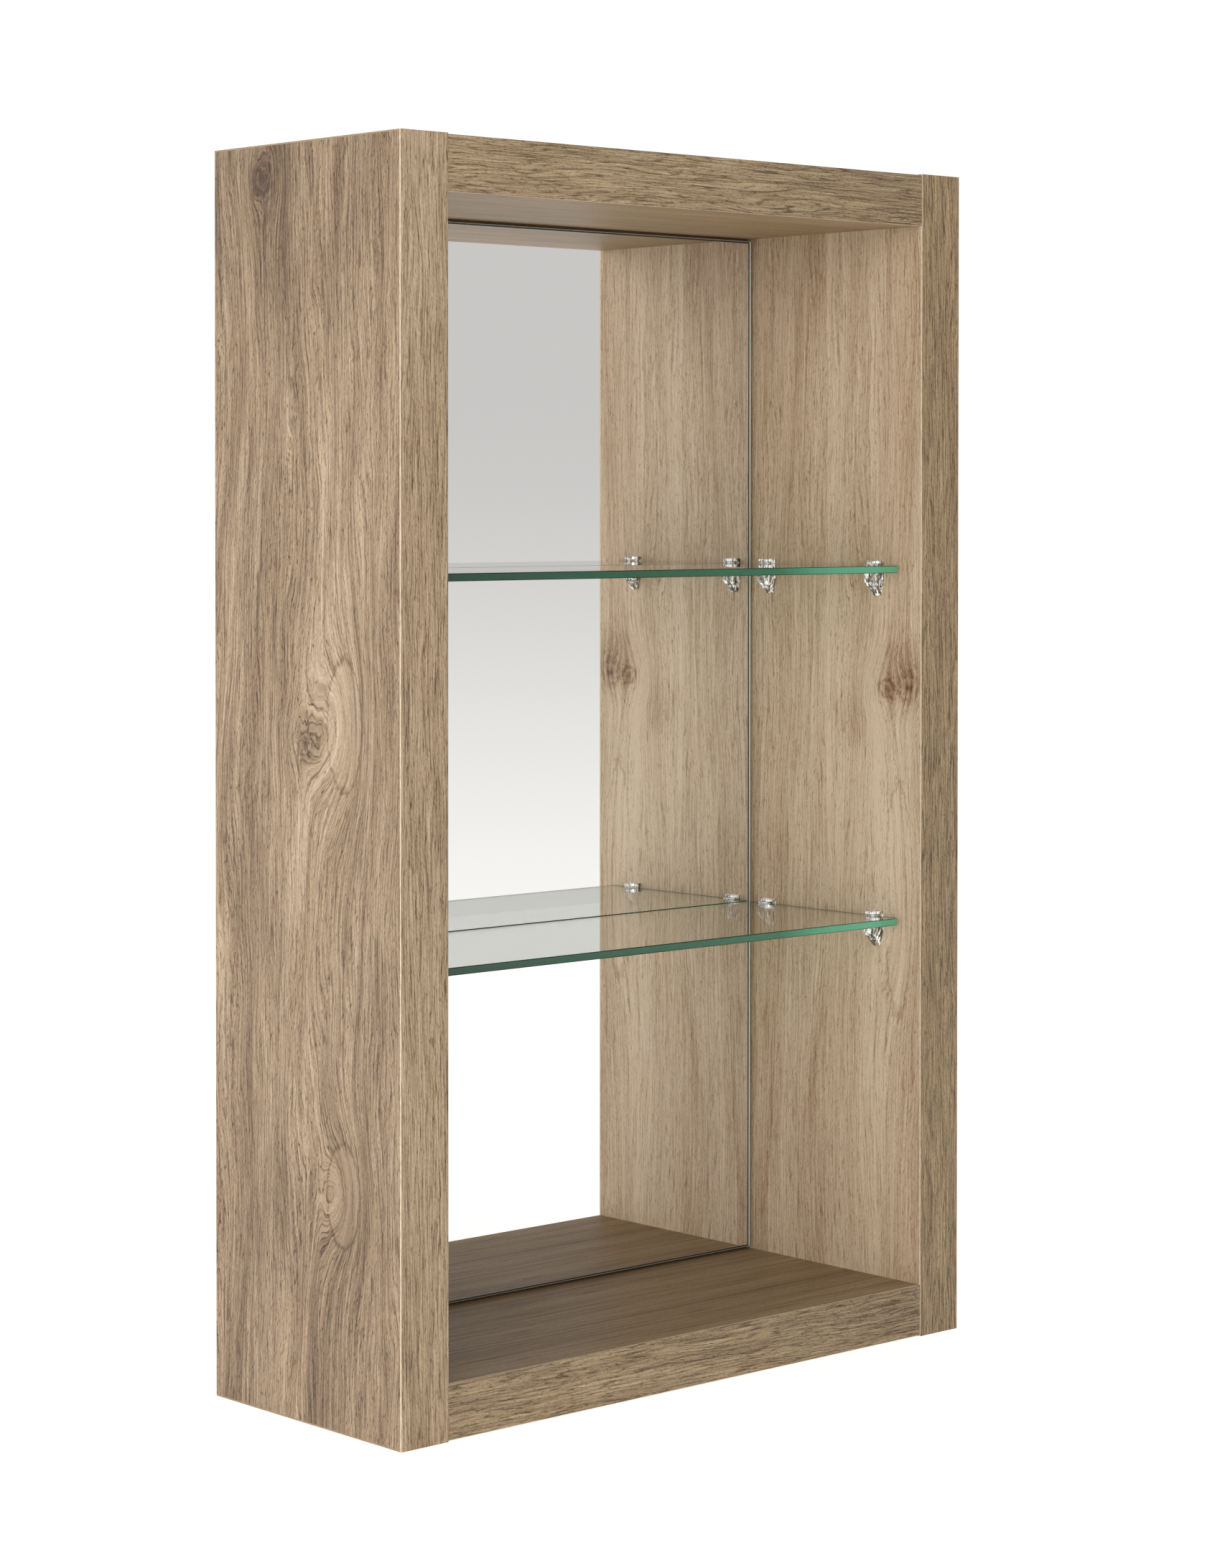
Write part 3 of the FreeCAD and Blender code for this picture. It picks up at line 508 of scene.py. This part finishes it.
shelfGlassLook = {
    "face": (228, 229, 223), "edge": (196, 226, 210), "rimShare": 0.66,
    "wallShadeRim": (26, 36, 26),
    "greens": tones((0.0, 22, 66, 42), (0.72, 38, 98, 70), (0.84, 90, 174, 132), (1.0, 106, 190, 148)),
    "absorb": (0.30, 0.80, 0.55, 1.0), "density": 4.0, "lampTint": (240, 250, 244),
}


def shelfGlass(look):
    # float glass: nearly clear through its faces, green along its length, and lamps pass it. The green
    # of its polished front edge is painted paler towards the lit end at +x: painted light, deeper at the
    # other end.
    # The ground edges beside the walls are painted dark, and so are the last millimetres next to them:
    # painted shade of the gaps against the walls
    finish = Finish("shelfGlass")
    place = finish.place()
    x = place[0]
    facing = finish.facing()
    flat = finish.step(facing[2], 0.80, 0.95)
    arris = finish.step(facing[2], 0.35, 0.60) * (1 - flat)
    swirl = finish.noise(finish.scaled(place, 40, 40, 4), 2)
    polish = finish.noise(finish.scaled(place, 1.5, 1.5, 0.3), 3)
    colour = finish.blend(flat, screenColour(*look["edge"]), screenColour(*look["face"]))
    bend = finish.bump(polish * (1 - flat), 0.00002)
    glass = finish.surface({
        "Base Color": colour, "Roughness": (1 - flat) * (polish * 0.06 + 0.02) + swirl * 0.004,
        "IOR": 1.52, "Transmission Weight": 1.0, "Normal": bend,
    })
    low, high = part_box("glass_shelf_upper")
    length = (high.x - low.x) * 1000
    # painted light: the edge green grows paler along x towards the lit end, over the glass's own green
    green = finish.ramp((x + (polish - 0.5) * 30) / length + 0.5, look["greens"])
    # painted shade: the edges facing the walls and the last millimetres by them turn dark, the shade in the
    # gap against each wall
    sideways = finish.step(facing[0], 0.4, 0.7)
    corner = finish.step(abs(x), length / 2 - 1.2, length / 2 - 0.6)
    green = finish.blend(finish.larger(sideways, corner), green, screenColour(*look["wallShadeRim"]))
    rim = finish.surface({"Base Color": green, "Roughness": polish * 0.1 + corner * 0.5 + 0.06,
                          "Normal": bend})
    share = (1 - flat) * (1 - arris * 0.6) * (look["rimShare"] + sideways * 0.3)
    share = finish.larger(share, corner * 0.9)
    glass = finish.node("MixShader", {}, {0: share, 1: glass, 2: rim})
    clear = finish.node("BsdfTransparent", {}, {"Color": screenColour(*look["lampTint"])})
    lamp = finish.node("LightPath", output="Is Shadow Ray")
    shader = finish.node("MixShader", {}, {0: lamp, 1: glass, 2: clear})
    volume = finish.node("VolumeAbsorption", {}, {"Color": look["absorb"], "Density": look["density"]})
    return finish.done(shader, volume)


clipLook = {
    "clear": (252, 253, 253), "shadow": (96, 92, 84), "paintedGlint": 0.9, "milk": 0.05,
    "milkTone": (150, 150, 146), "paintedGlintTone": (252, 252, 252), "paintedGlow": (0.30, 0.30, 0.29, 1.0),
    "lampTint": (246, 247, 247),
}


def clearPlastic(look):
    # moulded clear plastic, with painted light: upright white glints that glow are painted highlights, and
    # the dark spots between them are painted shade
    finish = Finish("clearPlastic")
    place = finish.place()
    flow = finish.noise(finish.scaled(place, 2.5, 2.5, 1.2), 3)
    caught = finish.noise(finish.scaled(place, 1.5, 1.5, 4.2), 1, distortion=0.6)
    paintedGlint = finish.step(caught, 0.55, 0.61)
    # painted shade: dark spots where the pattern is low
    shadow = 1 - finish.step(caught, 0.36, 0.44)
    colour = finish.blend(shadow, screenColour(*look["clear"]), screenColour(*look["shadow"]))
    bend = finish.bump(flow, 0.00010)
    plastic = finish.surface({
        "Base Color": colour, "Roughness": flow * 0.05 + 0.01, "IOR": 1.49,
        "Transmission Weight": 1.0, "Normal": bend,
    })
    white = finish.blend(paintedGlint, screenColour(*look["milkTone"]), screenColour(*look["paintedGlintTone"]))
    # the glints glow by emission: a painted highlight, though the clip is no lamp
    milk = finish.surface({
        "Base Color": white, "Roughness": 0.08, "Normal": bend,
        "Emission Color": finish.blend(paintedGlint, (0, 0, 0, 1), look["paintedGlow"]), "Emission Strength": 1.0,
    })
    plastic = finish.node("MixShader", {}, {0: paintedGlint * look["paintedGlint"] + look["milk"], 1: plastic, 2: milk})
    clear = finish.node("BsdfTransparent", {}, {"Color": screenColour(*look["lampTint"])})
    lamp = finish.node("LightPath", output="Is Shadow Ray")
    return finish.done(finish.node("MixShader", {}, {0: lamp, 1: plastic, 2: clear}))


print("back panel, mirror, glass shelves and clips")
dress(hardboard(hardboardLook), "back_panel")
dress(silveredGlass(mirrorLook), "mirror")
dress(shelfGlass(shelfGlassLook), "glass_shelf_upper", "glass_shelf_lower")
dress(clearPlastic(clipLook), *named("shelf_clip"))


zincLook = {
    "tones": tones((0.2, 148, 150, 152), (0.8, 206, 208, 210)), "spangle": 2.2, "rolled": (0.18, 9),
}
dieCastLook = {"tones": tones((0.2, 104, 106, 108), (0.7, 168, 169, 170)), "skin": 0.5, "pit": 0.9}
capLook = {"tones": tones((0.3, 160, 134, 106), (0.7, 180, 155, 126)), "skin": 0.35, "cloud": 6}
beechLook = {
    "tones": tones((0.2, 168, 124, 82), (0.7, 214, 178, 132)), "grain": (9, 0.8), "fleck": (1.6, 0.3),
}
foamLook = {"tones": tones((0.1, 150, 152, 152), (0.6, 206, 208, 207)), "bubble": 0.6}


def zincPlate(look):
    # bright zinc plating: spangled patches and fine rolling lines
    finish = Finish("zincPlate")
    place = finish.place()
    spangle = finish.cellTone(finish.scaled(place, look["spangle"]))
    across, along = look["rolled"]
    lines = finish.noise(finish.scaled(place, across, across, along), 2)
    stain = finish.step(finish.noise(finish.scaled(place, 5), 4), 0.52, 0.75)
    colour = finish.ramp(spangle * 0.35 + lines * 0.35 + (1 - stain) * 0.3, look["tones"])
    shader = finish.surface({"Base Color": colour, "Metallic": 1.0 - stain * 0.15,
                             "Roughness": stain * 0.22 + spangle * 0.08 + 0.26,
                             "Normal": finish.bump(lines, 0.00002)})
    return finish.done(shader)


def dieCastZinc(look):
    # dull cast metal: fine pitted skin
    finish = Finish("dieCastZinc")
    place = finish.place()
    skin = finish.noise(finish.scaled(place, look["skin"]), 4, 0.6)
    pit = finish.noise(finish.scaled(place, look["pit"]), 2)
    pit = finish.step(pit, 0.6, 0.72)
    shader = finish.surface({"Base Color": finish.ramp(skin - pit * 0.3, look["tones"]),
                             "Metallic": 0.95 - pit * 0.1, "Roughness": 0.42 + skin * 0.14,
                             "Normal": finish.bump(skin - pit, 0.00004)})
    return finish.done(shader)


def capPlastic(look):
    # oak-coloured moulded cap with a fine spark-eroded skin
    finish = Finish("capPlastic")
    place = finish.place()
    skin = finish.noise(finish.scaled(place, look["skin"]), 2)
    cloud = finish.noise(finish.scaled(place, look["cloud"]), 2)
    shader = finish.surface({"Base Color": finish.ramp(cloud * 0.7 + skin * 0.3, look["tones"]),
                             "Roughness": 0.48 + skin * 0.14, "Normal": finish.bump(skin, 0.00003)})
    return finish.done(shader)


def beechDowel(look):
    # pale beech along its length, with short darker flecks
    finish = Finish("beechDowel")
    place = finish.place()
    along, across = look["grain"]
    grain = finish.noise(finish.scaled(place, along, across, across), 3)
    along, across = look["fleck"]
    fleck = finish.noise(finish.scaled(place, along, across, across), 1)
    colour = finish.ramp(grain - finish.step(fleck, 0.62, 0.72) * 0.25, look["tones"])
    shader = finish.surface({"Base Color": colour, "Roughness": 0.62 + grain * 0.1,
                             "Normal": finish.bump(grain, 0.00005)})
    return finish.done(shader)


def foamTape(look):
    # closed-cell foam: small bubbles in a pale grey sheet
    finish = Finish("foamTape")
    place = finish.place()
    bubble = finish.cells(finish.scaled(place, look["bubble"]))
    shader = finish.surface({"Base Color": finish.ramp(bubble, look["tones"]),
                             "Roughness": 0.8 + bubble * 0.1, "Normal": finish.bump(bubble, 0.0001)})
    return finish.done(shader)


print("tape, screws, plates, cams and dowels")
dress(foamTape(foamLook), *named("mirror_tape"))
dress(zincPlate(zincLook), *named("hanger_plate", "hanger_screw", "cam_bolt"))
dress(dieCastZinc(dieCastLook), "cams")
dress(capPlastic(capLook), *named("cam_caps"))
dress(beechDowel(beechLook), "wooden_dowels")


studio = {
    "floorHalf": 1.5, "floorGlow": 0.65, "floorDrop": 0.0002,
    "skyWhite": 1.06, "mirrorGrey": 0.585, "overhead": 0.40,
    "greySide": (0.66, -0.75),  # the way to the greyer part of the sky, as x and y
    "key": {"at": (-2.3, -1.25, 0.85), "size": (1.5, 1.7), "power": 27.0, "mirrored": True},
    "fill": {"at": (-0.4, -3.0, 0.9), "size": (1.6, 1.4), "power": 8.0, "mirrored": False},
    "side": {"at": (2.4, -1.7, 0.9), "size": (1.4, 1.4), "power": 8.0, "mirrored": False},
}
objectMiddle = (cadLow + cadHigh) / 2


def floorFinish(look):
    # matt white paper, lit from below as well
    finish = Finish("studioFloor")
    place = finish.place()
    fibre = finish.noise(finish.scaled(place, 3), 3)
    colour = finish.ramp(fibre, [(0.2, (0.78, 0.78, 0.78, 1)), (0.8, (0.82, 0.82, 0.82, 1))])
    shader = finish.surface({"Base Color": colour, "Roughness": 0.9, "Specular IOR Level": 0.1,
                             "Emission Color": (1, 1, 1, 1), "Emission Strength": look["floorGlow"]})
    return finish.done(shader)


def layFloor(look):
    # a flat square: corners at plus and minus floorHalf round the object's foot
    half = look["floorHalf"]
    corners = np.array([[-1, -1, 0], [1, -1, 0], [1, 1, 0], [-1, 1, 0]]) * half
    corners[:, 2] = cadLow.z - look["floorDrop"]
    mesh = bpy.data.meshes.new("studioFloor")
    mesh.from_pydata(corners.tolist(), [], [(0, 1, 2, 3)])
    mesh.materials.append(floorFinish(look))
    floor = bpy.data.objects.new("studioFloor", mesh)
    bpy.context.collection.objects.link(floor)


def hangSky(look):
    # white all round, greyer towards the front right above the horizon and dim overhead
    finish = Finish("studioSky", world=True)
    split = finish.node("SeparateXYZ", {}, {0: finish.node("TexCoord", output="Generated")})
    x, y, z = [split.other(axis) for axis in "XYZ"]
    greyX, greyY = look["greySide"]
    towards = finish.step(x * greyX + y * greyY, 0.0, 0.6)
    rise = finish.step(z, -0.15, 0.03)
    overhead = finish.step(z, 0.2, 0.8)
    light = 1 - towards * rise * (1 - look["mirrorGrey"])
    light = light * (1 - overhead * (1 - look["overhead"])) * look["skyWhite"]
    back = finish.node("Background", {}, {"Color": (1.0, 1.0, 0.995, 1), "Strength": light})
    bpy.context.scene.world = finish.done(back)


def hangLamp(name, lamp):
    light = bpy.data.lights.new(name, "AREA")
    light.shape = "RECTANGLE"
    light.size, light.size_y = lamp["size"]
    light.energy = lamp["power"]
    light.color = (1.0, 0.995, 0.985)
    holder = bpy.data.objects.new(name, light)
    holder.location = lamp["at"]
    aim = objectMiddle - Vector(lamp["at"])
    holder.rotation_euler = aim.to_track_quat("-Z", "Y").to_euler()
    holder.visible_glossy = lamp["mirrored"]
    holder.visible_transmission = lamp["mirrored"]
    bpy.context.collection.objects.link(holder)


camera = {
    "at": (-1.3096, -1.4272, 0.4608), "turn": -41.435, "tip": 88.995, "lens": 83.268,
    "shift": (0.0516, -0.14),
}


def placeCamera(look):
    data = bpy.data.cameras.new("camera")
    data.sensor_width = 36.0
    data.lens = look["lens"]
    data.shift_x, data.shift_y = look["shift"]
    data.clip_start, data.clip_end = 0.05, 60.0
    holder = bpy.data.objects.new("camera", data)
    holder.location = look["at"]
    holder.rotation_euler = (math.radians(look["tip"]), 0, math.radians(look["turn"]))
    bpy.context.collection.objects.link(holder)
    bpy.context.scene.camera = holder


print("floor, sky, lamps and camera")
layFloor(studio)
hangSky(studio)
for name in ("key", "fill", "side"):
    hangLamp(name + "Lamp", studio[name])
placeCamera(camera)
bpy.context.scene.view_settings.view_transform = "Standard"
bpy.context.scene.view_settings.look = "None"
